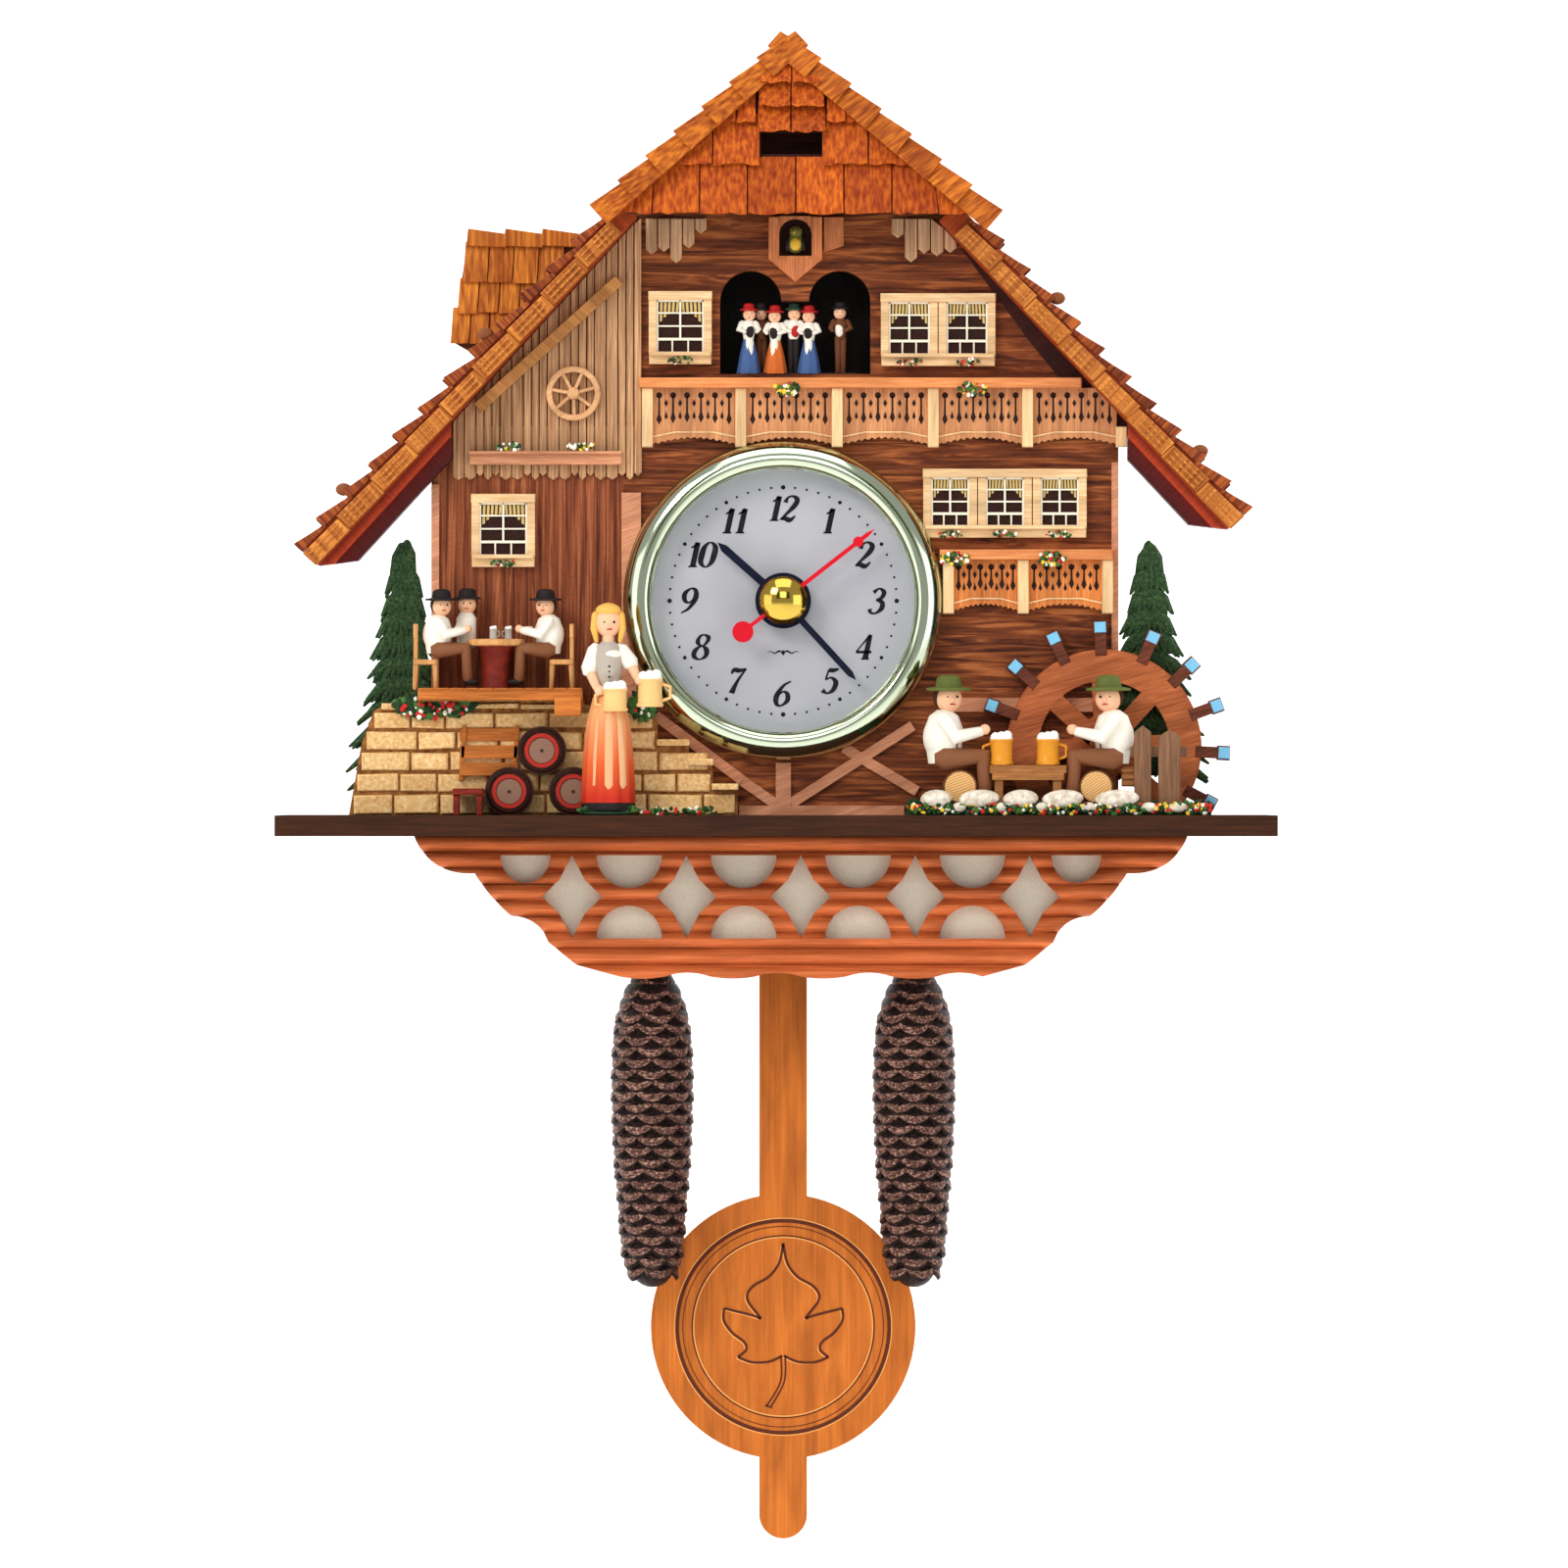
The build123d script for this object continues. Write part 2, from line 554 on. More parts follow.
with BuildPart() as skirt_board:
    with BuildSketch(face(SKIRT_BACK)):
        with BuildLine():
            left, right = skirt_side(-1), skirt_side(1)
            Polyline(left[0], right[0])
            for half in (left, right):
                for i in (0, 2, 4):
                    Spline(half[i], half[i + 1], half[i + 2])
                Polyline(half[6], half[7], half[8])
            waves = 8
            step = (right[8][0] - left[8][0]) / waves
            for i in range(waves):
                a = left[8][0] + i * step
                lift = 0.9 if i % 2 else -0.5
                ThreePointArc((a, left[8][1]), (a + step / 2, left[8][1] + lift), (a + step, left[8][1]))
        make_face()
    extrude(amount=SKIRT_BOARD)
    with BuildSketch(face(SKIRT_BACK)):
        for i in range(-2, 3):
            with Locations((SKIRT_X + i * STAR_PITCH, -135.0)):
                Polygon(*STAR)
        for i in range(-2, 2):
            x = SKIRT_X + (i + 0.5) * STAR_PITCH
            with Locations((x, MOON_Z), (x, -144.7)):
                Circle(7.6)
            panel(x - 9, x + 9, -155, -144.7, Mode.SUBTRACT)
        with Locations((SKIRT_X - END_MOON, MOON_Z), (SKIRT_X + END_MOON, MOON_Z)):
            Ellipse(5.8, 6.4)
        panel(SKIRT_X - 72, SKIRT_X + 72, MOON_Z, -116, Mode.SUBTRACT)
    extrude(amount=SKIRT_BOARD, mode=Mode.SUBTRACT)
    for i in range(1, BEADS + 1):
        groove = SKIRT_TOP - i * (SKIRT_TOP - SKIRT_FOOT) / (BEADS + 0.6)
        block(-90, 98, SKIRT_DEPTH - 0.6, SKIRT_DEPTH, groove - 0.3, groove + 0.3, Mode.SUBTRACT)
skirt_board.part.label = "skirt_board"
export_step(skirt_board.part, "parts/skirt_board.step")

BACKING_T = 1.5
with BuildPart() as skirt_backing:
    with BuildSketch(face(SKIRT_BACK - BACKING_T)):
        Polygon((-70, SKIRT_TOP), (78.2, SKIRT_TOP), (68, -137), (54, -149), (-45.8, -149), (-59.8, -137))
    extrude(amount=BACKING_T)
    for x in (-CONE_X, CONE_X):
        block(x - 3.4, x + 3.4, 28.0, SKIRT_BACK - BACKING_T, CONE_PIN_Z - 3, SKIRT_TOP)
        rod(x, CONE_PIN_Z, CONE_DEPTH - 3, 28.0, 1.0)
skirt_backing.part.label = "skirt_backing"
export_step(skirt_backing.part, "parts/skirt_backing.step")

# ================= terrace, barrels and the card players =================
TERRACE_TOP = -86.9
TERRACE_T = 5.0
with BuildPart() as terrace:
    with BuildSketch(face(FACE)):
        Polygon(
            (-100.3, GROUND), (-97.5, -100.0), (-94.6, -92.0), (-84.0, TERRACE_TOP), (-46.0, TERRACE_TOP),
            (-46.0, -90.5), (-29.0, -94.0), (-29.0, -98.7), (-21.8, -98.7), (-21.8, -103.2), (-16.3, -103.2),
            (-16.3, -108.9), (-10.5, -108.9), (-10.5, GROUND),
        )
    extrude(amount=TERRACE_T)
    block(-84.0, -46.0, FACE + TERRACE_T, 52.0, TERRACE_TOP - 3.0, TERRACE_TOP)
terrace.part.label = "terrace"
export_step(terrace.part, "parts/terrace.step")

TERRACE_FACE = FACE + TERRACE_T
with BuildPart() as terrace_furniture:
    for z0, z1, out in ((-99.0, -96.0, 1.0), (-103.0, -100.0, 1.5), (-107.0, -104.0, 2.0)):
        block(-74.6, -61.0, TERRACE_FACE, TERRACE_FACE + out, z0, z1)
    block(-76.0, -68.9, TERRACE_FACE + 2.1, 53.0, -111.4, -109.3)
    for x in (-75.2, -69.7):
        block(x - 0.7, x + 0.7, 46.0, 52.0, GROUND, -111.4)
    with Locations((-66.25, -45.0, -76.35)):
        Cylinder(6.6, 1.5)
    with Locations((-66.25, -45.0, (TERRACE_TOP - 77.1) / 2)):
        Cylinder(3.4, -77.1 - TERRACE_TOP)
    for x, back in ((-82.4, -1), (-51.0, 1)):
        block(x - 2.8, x + 2.8, 42.5, 48.5, -81.4, -80.2)
        block(x + back * 2.2 - 0.6, x + back * 2.2 + 0.6, 42.5, 48.5, -80.2, -72.6)
        for dx in (-2.2, 2.2):
            block(x + dx - 0.5, x + dx + 0.5, 43.0, 48.0, TERRACE_TOP, -81.4)
terrace_furniture.part.label = "terrace_furniture"
export_step(terrace_furniture.part, "parts/terrace_furniture.step")


def sitter(x, depth, seat_z, tall, toward):
    """Plain seated figure: legs, body, arms, head and hat, in the open part."""
    torso_z = seat_z + 0.32 * tall
    with Locations((x, -depth, torso_z)):
        Cylinder(0.2 * tall, 0.62 * tall)
    with Locations((x + toward * 0.08 * tall, -depth, seat_z + 0.76 * tall)):
        Sphere(0.15 * tall)
    with Locations((x + toward * 0.05 * tall, -depth, seat_z + 0.92 * tall)):
        Cone(0.22 * tall, 0.1 * tall, 0.2 * tall)
    with Locations(Location((x + toward * 0.3 * tall, -depth, seat_z + 0.12 * tall), (0, 90, 0))):
        Cylinder(0.13 * tall, 0.5 * tall)
    arm = (x + toward * 0.3 * tall, -depth - 0.1 * tall, seat_z + 0.42 * tall)
    with Locations(Location(arm, (0, 90, 0))):
        Cylinder(0.07 * tall, 0.44 * tall)


with BuildPart() as card_players:
    sitter(-80.6, 45.5, -80.0, 15.0, 1)
    sitter(-53.8, 45.5, -80.0, 15.0, -1)
    with Locations((-73.0, -40.5, -72.0)):
        Cylinder(2.4, 9.0)
    with Locations((-73.0, -40.5, -66.6)):
        Sphere(2.0)
card_players.part.label = "card_players"
export_step(card_players.part, "parts/card_players.step")

BARREL_R, BARREL_L, BARREL_BACK = 5.5, 5.0, TERRACE_FACE + 2.1
with BuildPart() as barrels:
    for x, z in ((-63.1, GROUND + BARREL_R), (-48.4, GROUND + BARREL_R), (-55.6, -101.2)):
        with BuildSketch(Plane(origin=(x, -BARREL_BACK, z), x_dir=(1, 0, 0), z_dir=(0, 0, 1))):
            with BuildLine():
                Polyline((0, 0), (BARREL_R - 0.8, 0))
                ThreePointArc((BARREL_R - 0.8, 0), (BARREL_R, -BARREL_L / 2), (BARREL_R - 0.8, -BARREL_L))
                Polyline((BARREL_R - 0.8, -BARREL_L), (0, -BARREL_L), (0, 0))
            make_face()
        revolve(axis=Axis((x, 0, z), (0, 1, 0)))
barrels.part.label = "barrels"
export_step(barrels.part, "parts/barrels.step")

MAID_X, MAID_DEPTH = -39.6, 53.8
with BuildPart() as serving_maid:
    with Locations((MAID_X + 1, -MAID_DEPTH, GROUND + 0.75)):
        Cylinder(5.4, 1.5)
    figure(MAID_X, MAID_DEPTH, GROUND + 1.5, 46.0, 5.4, 0.8)
    for x, z in ((-38.6, -88.5), (-30.6, -86.7)):
        with Locations((x, -MAID_DEPTH - 1.5, z)):
            Cylinder(3.2, 8.5)
    block(-41.0, -30.0, MAID_DEPTH - 2.0, MAID_DEPTH + 1.0, -86.0, -83.0)
serving_maid.part.label = "serving_maid"
export_step(serving_maid.part, "parts/serving_maid.step")

# ================= drinkers, flower bed and fence =================
DRINK_DEPTH = 49.0
with BuildPart() as drinkers_table:
    block(47.6, 65.0, 44.5, 54.0, -106.6, -104.5)
    for x in (49.6, 63.0):
        block(x - 1.0, x + 1.0, 46.0, 53.0, -113.9, -106.6)
    for x in (40.7, 72.0):
        rod(x, -109.2, 44.0, 53.5, 4.0)
    block(78.0, 82.0, 46.0, 51.0, -109.5, -105.0)
drinkers_table.part.label = "drinkers_table"
export_step(drinkers_table.part, "parts/drinkers_table.step")

with BuildPart() as drinkers:
    sitter(37.4, DRINK_DEPTH, -104.8, 19.0, 1)
    sitter(76.2, DRINK_DEPTH, -104.8, 19.0, -1)
    for x in (50.3, 60.7):
        with Locations((x, -DRINK_DEPTH - 2.5, -100.6)):
            Cylinder(2.7, 7.6)
drinkers.part.label = "drinkers"
export_step(drinkers.part, "parts/drinkers.step")

with BuildPart() as flower_bed:
    block(28.4, 98.9, 41.5, 58.0, GROUND, -113.9)
    for x, half in ((35.1, 3.6), (45.0, 4.7), (54.5, 4.1), (64.2, 4.8), (76.7, 5.1)):
        with Locations((x, -55.9, -112.4)):
            Box(2 * half, 3.0, 3.4)
    block(-29.0, -12.0, TERRACE_FACE, 50.0, GROUND, -114.0)
flower_bed.part.label = "flower_bed"
export_step(flower_bed.part, "parts/flower_bed.step")

with BuildPart() as fence:
    block(80.7, 84.6, 52.5, 53.7, -113.9, -96.0)
    block(86.2, 91.3, 52.5, 53.7, -113.9, -97.0)
    block(79.8, 92.9, 51.3, 52.5, -102.7, -100.3)
fence.part.label = "fence"
export_step(fence.part, "parts/fence.step")

# ================= water wheel, its lower part hidden by the shelf =================
WHEEL = (74.2, -100.3)
WHEEL_R = 22.5
with BuildPart() as water_wheel:
    with BuildSketch(face(FACE + 1.2)):
        with Locations(WHEEL):
            Circle(WHEEL_R)
            Circle(WHEEL_R - 7.3, mode=Mode.SUBTRACT)
            Circle(6.6)
            for turn in range(0, 180, 45):
                Rectangle(2 * WHEEL_R - 4, 4.4, rotation=turn + 2.5)
        panel(40, 110, -160, GROUND + 0.02, Mode.SUBTRACT)
    extrude(amount=3.0)
    for turn in (160, 138, 115, 92, 66, 43, 20, -3, -28):
        with Locations(Location((WHEEL[0], -(FACE + 2.7), WHEEL[1]), (0, -turn, 0))):
            with Locations((WHEEL_R + 2.5, 0, 0)):
                Box(8.0, 3.0, 2.6)
water_wheel.part.label = "water_wheel"
export_step(water_wheel.part, "parts/water_wheel.step")

with BuildPart() as fir_trees:
    for apex, foot, half in (((-87.8, -54.4), -109.0, 15.0), ((84.8, -54.2), -106.0, 15.5)):
        with BuildSketch(face(CASE_DEPTH)):
            tiers = 6
            tall = apex[1] - foot
            for i in range(tiers):
                z = apex[1] - (i + 1) * tall / tiers
                w = half * (0.35 + 0.65 * (i + 1) / tiers)
                Polygon((apex[0] - w, z), (apex[0], min(apex[1], z + 2.0 * tall / tiers)), (apex[0] + w, z))
            if apex[0] < 0:
                panel(WALL_LEFT, 0, -120, 0, Mode.SUBTRACT)
                panel(-110, -70, -120, -92, Mode.SUBTRACT)
            else:
                panel(0, WALL_RIGHT, -120, 0, Mode.SUBTRACT)
        extrude(amount=BOARD)
fir_trees.part.label = "fir_trees"
export_step(fir_trees.part, "parts/fir_trees.step")

# ================= case =================
SCREWS = ((-45, 11), (45, 11), (-45, -112), (45, -112))
SCREW_R, SCREW_END = 1.5, 9.0
with BuildPart() as case_sides:
    for x in (-CASE_HALF, CASE_HALF - PLY):
        block(x, x + PLY, COVER, CASE_DEPTH, GROUND, CASE_TOP - PLY)
    block(-CASE_HALF, CASE_HALF, COVER, CASE_DEPTH, CASE_TOP - PLY, CASE_TOP)
    left, right = ARCH_LEFT - STAGE_WALL, ARCH_RIGHT + STAGE_WALL
    block(left, right, STAGE_BACK, CASE_DEPTH, 0, STAGE_TOP, Mode.SUBTRACT)
    for x, z in SCREWS:
        rod(x, z, COVER, SCREW_END, SCREW_R, Mode.SUBTRACT)
case_sides.part.label = "case_sides"
export_step(case_sides.part, "parts/case_sides.step")

# ---- rear cover with the hanger let in at the top and a window behind the movement ----
ACCESS = (-29.5, 29.5, -96.0, -37.5)
PLATE = (-14.0, 14.0, -9.0, 8.0)
PLATE_T = 1.5
with BuildPart() as rear_cover:
    block(-CASE_HALF, CASE_HALF, 0, COVER, GROUND, CASE_TOP)
    block(ACCESS[0], ACCESS[1], 0, COVER, ACCESS[2], ACCESS[3], Mode.SUBTRACT)
    block(PLATE[0], PLATE[1], 0, PLATE_T, PLATE[2], PLATE[3], Mode.SUBTRACT)
    rod(0, 0, 0, COVER, 6.5, Mode.SUBTRACT)
    for x, z in SCREWS:
        rod(x, z, 0, COVER, SCREW_R, Mode.SUBTRACT)
        rod(x, z, 0, 1.2, 2.9, Mode.SUBTRACT)
rear_cover.part.label = "rear_cover"
export_step(rear_cover.part, "parts/rear_cover.step")

KEYHOLE_R, KEYHOLE_SLOT = 4.0, 4.5
with BuildPart() as hanger_plate:
    block(PLATE[0], PLATE[1], 0, PLATE_T, PLATE[2], PLATE[3])
    rod(0, 0, 0, PLATE_T, KEYHOLE_R, Mode.SUBTRACT)
    block(-KEYHOLE_SLOT / 2, KEYHOLE_SLOT / 2, 0, PLATE_T, 0, 5.5, Mode.SUBTRACT)
    rod(0, 5.5, 0, PLATE_T, KEYHOLE_SLOT / 2, Mode.SUBTRACT)
hanger_plate.part.label = "hanger_plate"
export_step(hanger_plate.part, "parts/hanger_plate.step")

# ================= quartz insert =================
CUP_FLOOR = 31.0
DIAL_BACK, DIAL_FRONT = 35.0, 35.6
with BuildPart() as insert_cup:
    rod(0, DIAL_Z, CUP_FLOOR, 41.5, RING_R)
    rod(0, DIAL_Z, DIAL_BACK, 41.5, RING_R - 1.0, Mode.SUBTRACT)
    rod(0, DIAL_Z, CUP_FLOOR, DIAL_BACK, 3.9, Mode.SUBTRACT)
insert_cup.part.label = "insert_cup"
export_step(insert_cup.part, "parts/insert_cup.step")

with BuildPart() as dial:
    rod(0, DIAL_Z, DIAL_BACK, DIAL_FRONT, RING_R - 1.05)
    rod(0, DIAL_Z, DIAL_BACK, DIAL_FRONT, 3.9, Mode.SUBTRACT)
dial.part.label = "dial"
export_step(dial.part, "parts/dial.step")

LENS_T, LENS_EDGE, LENS_RISE = 1.0, 41.5, 4.4
DIAL_AXIS = Axis((0, 0, DIAL_Z), (0, 1, 0))
THROUGH_DIAL = Plane(origin=(0, 0, DIAL_Z), x_dir=(0, -1, 0), z_dir=(1, 0, 0))
LIP = FACE + 5.6
with BuildPart() as bezel:
    with BuildSketch(THROUGH_DIAL):
        with BuildLine():
            Polyline((LIP, RING_R + 0.1), (FACE, RING_R + 0.1), (FACE, BEZEL_R), (FACE + 1.5, BEZEL_R))
            ThreePointArc((FACE + 1.5, BEZEL_R), (FACE + 5.4, BEZEL_R - 1.0), (FACE + 7.4, BEZEL_R - 3.4))
            Polyline((FACE + 7.4, BEZEL_R - 3.4), (LIP, 31.4), (LIP, RING_R + 0.1))
        make_face()
    revolve(axis=DIAL_AXIS)
bezel.part.label = "bezel"
export_step(bezel.part, "parts/bezel.step")

LENS_R = 31.2
LENS_SPHERE = (LENS_R ** 2 + LENS_RISE ** 2) / (2 * LENS_RISE)


def dome(radius):
    """Height of the lens above its rim, at a radius from the middle."""
    return sqrt(LENS_SPHERE ** 2 - radius ** 2) - (LENS_SPHERE - LENS_RISE)


with BuildPart() as lens:
    with BuildSketch(THROUGH_DIAL):
        with BuildLine():
            back, front = LENS_EDGE, LENS_EDGE + LENS_T
            Polyline((back, LENS_R), (back, RING_R), (front, RING_R), (front, LENS_R))
            ThreePointArc((front, LENS_R), (front + dome(LENS_R / 2), LENS_R / 2), (front + LENS_RISE, 0))
            Line((front + LENS_RISE, 0), (back + LENS_RISE, 0))
            ThreePointArc((back + LENS_RISE, 0), (back + dome(LENS_R / 2), LENS_R / 2), (back, LENS_R))
        make_face()
    revolve(axis=DIAL_AXIS)
lens.part.label = "lens"
export_step(lens.part, "parts/lens.step")

# ================= clock movement =================
BOX_HALF = 28.0
BOX_BACK, BOX_FRONT = 15.0, CUP_FLOOR
BOX_TOP, BOX_FOOT = DIAL_Z + BOX_HALF, DIAL_Z - BOX_HALF
SKIN = 1.2
CELL_R, CELL_L = 7.2, 50.5
CELL_Z, CELL_DEPTH = BOX_FOOT + 8.6, 22.6
BAY_TOP = CELL_Z + 8.4
HOUR_TUBE_R, HOUR_BORE_R = 2.2, 1.3
MINUTE_TUBE_R, MINUTE_BORE_R = HOUR_BORE_R - FIT, 0.6
ARBOR_R = MINUTE_BORE_R - FIT
BUSH_BORE_R, BUSH_R, BUSH_END = HOUR_TUBE_R + FIT, 3.8, 38.6
STUD_R, ROTOR_STUD = 0.5, 0.36
WHEEL_BORE = STUD_R + FIT


def polar(centre, radius, angle):
    """Point at a radius and an angle from a centre, the angle counted from +X towards +Z."""
    return (centre[0] + radius * cos(radians(angle)), centre[1] + radius * sin(radians(angle)))


# Gear train: wheel teeth, module and centre distances.
CENTRE = (0.0, DIAL_Z)
SECONDS_TEETH, FIFTH_PINION, FIFTH_TEETH, ROTOR_PINION, FAST_MODULE = 60, 12, 36, 6, 0.25
SECONDS_PINION, THIRD_TEETH, THIRD_MODULE = 8, 60, 0.27
THIRD_PINION, RING_TEETH, RING_MODULE = 8, 64, 0.255
CANNON_TEETH, MOTION_TEETH, CANNON_MODULE = 12, 36, 0.3125
MOTION_PINION, HOUR_TEETH, HOUR_MODULE = 10, 40, 0.3
KNOB_TEETH = 12
FIFTH_ANGLE, ROTOR_ANGLE, THIRD_ANGLE, MOTION_ANGLE, KNOB_ANGLE = 150, 100, 20, 60, 60
FIFTH = polar(CENTRE, (SECONDS_TEETH + FIFTH_PINION) * FAST_MODULE / 2, FIFTH_ANGLE)
ROTOR = polar(FIFTH, (FIFTH_TEETH + ROTOR_PINION) * FAST_MODULE / 2, ROTOR_ANGLE)
THIRD = polar(CENTRE, (SECONDS_PINION + THIRD_TEETH) * THIRD_MODULE / 2, THIRD_ANGLE)
MOTION = polar(CENTRE, (CANNON_TEETH + MOTION_TEETH) * CANNON_MODULE / 2, MOTION_ANGLE)
KNOB = polar(MOTION, (MOTION_TEETH + KNOB_TEETH) * CANNON_MODULE / 2, KNOB_ANGLE)


def meshed(phase, teeth, other_teeth, direction):
    """Phase of a second gear that meshes with a first one, in the direction from the first to the second."""
    offset = (direction - phase) % (360 / teeth)
    return direction + 180 + offset * teeth / other_teeth - 180 / other_teeth


def gear(module, teeth, phase, centre, d0, d1):
    """Thin spur gear with flat flanks and free teeth, square to the wall, in the open part."""
    pitch_r = module * teeth / 2
    root, tip = pitch_r - 1.15 * module, pitch_r + 0.75 * module
    step = 360 / teeth
    points = []
    for k in range(teeth):
        for radius, turn in ((root, -0.27), (tip, -0.1), (tip, 0.1), (root, 0.27)):
            points.append(polar(centre, radius, phase + (k + turn) * step))
    with BuildSketch(face(d0)) as outline:
        Polygon(*points)
    extrude(outline.sketch, amount=d1 - d0)


with BuildPart() as movement_case:
    block(-BOX_HALF, BOX_HALF, BOX_BACK, BOX_FRONT, BOX_FOOT, BOX_TOP)
    inside = BOX_HALF - SKIN
    block(-inside, inside, BOX_BACK + SKIN, BOX_FRONT - SKIN, BAY_TOP, BOX_TOP - SKIN, Mode.SUBTRACT)
    block(-inside, inside, BOX_BACK, BOX_FRONT - SKIN, BOX_FOOT + SKIN, BAY_TOP - SKIN, Mode.SUBTRACT)
    rod(0, DIAL_Z, BOX_FRONT - SKIN, BUSH_END, BUSH_R)
    rod(0, DIAL_Z, BOX_FRONT - SKIN, BUSH_END, BUSH_BORE_R, Mode.SUBTRACT)
    rod(MOTION[0], MOTION[1], 26.7, BOX_FRONT - SKIN, STUD_R)
    for centre, end, radius in ((THIRD, 26.7, STUD_R), (FIFTH, 23.0, STUD_R), (ROTOR, 21.2, ROTOR_STUD)):
        rod(centre[0], centre[1], BOX_BACK + SKIN, end, radius)
    rod(KNOB[0], KNOB[1], BOX_BACK, BOX_BACK + SKIN, 0.9 + FIT, Mode.SUBTRACT)
movement_case.part.label = "movement_case"
export_step(movement_case.part, "parts/movement_case.step")

with BuildPart() as fixings:
    for x, z in SCREWS:
        rod(x, z, 0.2, 1.2, 2.8)
        rod(x, z, 1.2, SCREW_END, SCREW_R)
        block(x - 0.3, x + 0.3, 0.2, 0.7, z - 1.9, z + 1.9, Mode.SUBTRACT)
    with BuildSketch(face(DIAL_FRONT)):
        with Locations(CENTRE):
            RegularPolygon(5.6, 6)
            Circle(BUSH_R, mode=Mode.SUBTRACT)
    extrude(amount=2.2)
fixings.part.label = "fixings"
export_step(fixings.part, "parts/fixings.step")

with BuildPart() as movement_coil:
    with Locations(Location((-8.0, -23.0, -45.5), (0, 90, 0))):
        Cylinder(3.6, 20.0)
    block(10.0, 25.0, 17.4, 18.2, -60.0, -42.0)
    with BuildSketch(face(17.2)):
        panel(-19.5, 3.0, -60.6, -50.0)
        with Locations(ROTOR):
            Circle(3.1, mode=Mode.SUBTRACT)
        with Locations(FIFTH):
            Circle(1.2, mode=Mode.SUBTRACT)
    extrude(amount=0.8)
movement_coil.part.label = "movement_coil"
export_step(movement_coil.part, "parts/movement_coil.step")

DRIVE_CELL_Z, DRIVE_CELL_DEPTH = -130.6, 20.6
with BuildPart() as cells:
    for z, depth in ((CELL_Z, CELL_DEPTH), (DRIVE_CELL_Z, DRIVE_CELL_DEPTH)):
        with Locations(Location((-0.5, -depth, z), (0, 90, 0))):
            Cylinder(CELL_R, CELL_L - 1.5)
        with Locations(Location((CELL_L / 2 - 1.0, -depth, z), (0, 90, 0))):
            Cylinder(2.7, 1.5)
cells.part.label = "cells"
export_step(cells.part, "parts/cells.step")

# ---- seconds arbor with its wheel and pinion, and the thin hand with a counterweight disc ----
HOUR_TURN, MINUTE_TURN, SECOND_TURN = 311.5, 137.5, 52.0
HOUR_LEN, MINUTE_LEN, SECOND_LEN = 20.3, 25.0, 26.8
HOUR_DEPTH, MINUTE_DEPTH, SECOND_DEPTH = 39.6, 41.0, 42.2
HAND_T = 0.4


def hand(depth, turn, length, width, hub):
    """Flat hand with a round hub and a pointed tip, in the open part."""
    with BuildSketch(face(depth)) as outline:
        with Locations(CENTRE):
            Circle(hub)
        with Locations(Location((CENTRE[0], CENTRE[1], 0), (0, 0, -turn))):
            half = width / 2
            Polygon((-half, 0), (-half, length - 2), (0, length), (half, length - 2), (half, 0))
    extrude(outline.sketch, amount=HAND_T)


with BuildPart() as second_hand:
    hand(SECOND_DEPTH, SECOND_TURN, SECOND_LEN, 1.0, 2.2)
    with BuildSketch(face(SECOND_DEPTH)):
        with Locations(Location((CENTRE[0], CENTRE[1], 0), (0, 0, -SECOND_TURN))):
            panel(-0.45, 0.45, -11.8, 0)
            with Locations((0, -11.8)):
                Circle(2.45)
            with Locations((0, 22.0)):
                Circle(1.2)
    extrude(amount=HAND_T)
    rod(0, DIAL_Z, 17.5, SECOND_DEPTH, ARBOR_R)
    gear(FAST_MODULE, SECONDS_TEETH, 0, CENTRE, 21.6, 22.4)
    gear(THIRD_MODULE, SECONDS_PINION, 0, CENTRE, 23.4, 24.8)
second_hand.part.label = "second_hand"
export_step(second_hand.part, "parts/second_hand.step")

CAP_R, CAP_RISE = 5.5, 2.4
CAP_SPHERE = (CAP_R ** 2 + CAP_RISE ** 2) / (2 * CAP_RISE)
CAP_BACK = SECOND_DEPTH + HAND_T
with BuildPart() as hand_cap:
    with Locations((0, -(CAP_BACK + CAP_RISE - CAP_SPHERE), DIAL_Z)):
        Sphere(CAP_SPHERE)
    rod(0, DIAL_Z, CAP_BACK - 40, CAP_BACK, 20, Mode.SUBTRACT)
hand_cap.part.label = "hand_cap"
export_step(hand_cap.part, "parts/hand_cap.step")

# ---- minute hand on its tube, with the cannon pinion at the back ----
with BuildPart() as minute_hand:
    hand(MINUTE_DEPTH, MINUTE_TURN, MINUTE_LEN, 1.5, 3.4)
    rod(0, DIAL_Z, 25.1, MINUTE_DEPTH, MINUTE_TUBE_R)
    gear(CANNON_MODULE, CANNON_TEETH, 0, CENTRE, 26.9, 28.1)
    rod(0, DIAL_Z, 25.1, MINUTE_DEPTH + HAND_T, MINUTE_BORE_R, Mode.SUBTRACT)
minute_hand.part.label = "minute_hand"
export_step(minute_hand.part, "parts/minute_hand.step")

MOTION_PHASE = meshed(0, CANNON_TEETH, MOTION_TEETH, MOTION_ANGLE)
with BuildPart() as hour_hand:
    hand(HOUR_DEPTH, HOUR_TURN, HOUR_LEN, 1.8, 6.45)
    rod(0, DIAL_Z, 28.4, HOUR_DEPTH, HOUR_TUBE_R)
    hour_phase = meshed(0, MOTION_PINION, HOUR_TEETH, MOTION_ANGLE + 180)
    gear(HOUR_MODULE, HOUR_TEETH, hour_phase, CENTRE, 28.4, 29.4)
    rod(0, DIAL_Z, 28.4, HOUR_DEPTH + HAND_T, HOUR_BORE_R, Mode.SUBTRACT)
hour_hand.part.label = "hour_hand"
export_step(hour_hand.part, "parts/hour_hand.step")

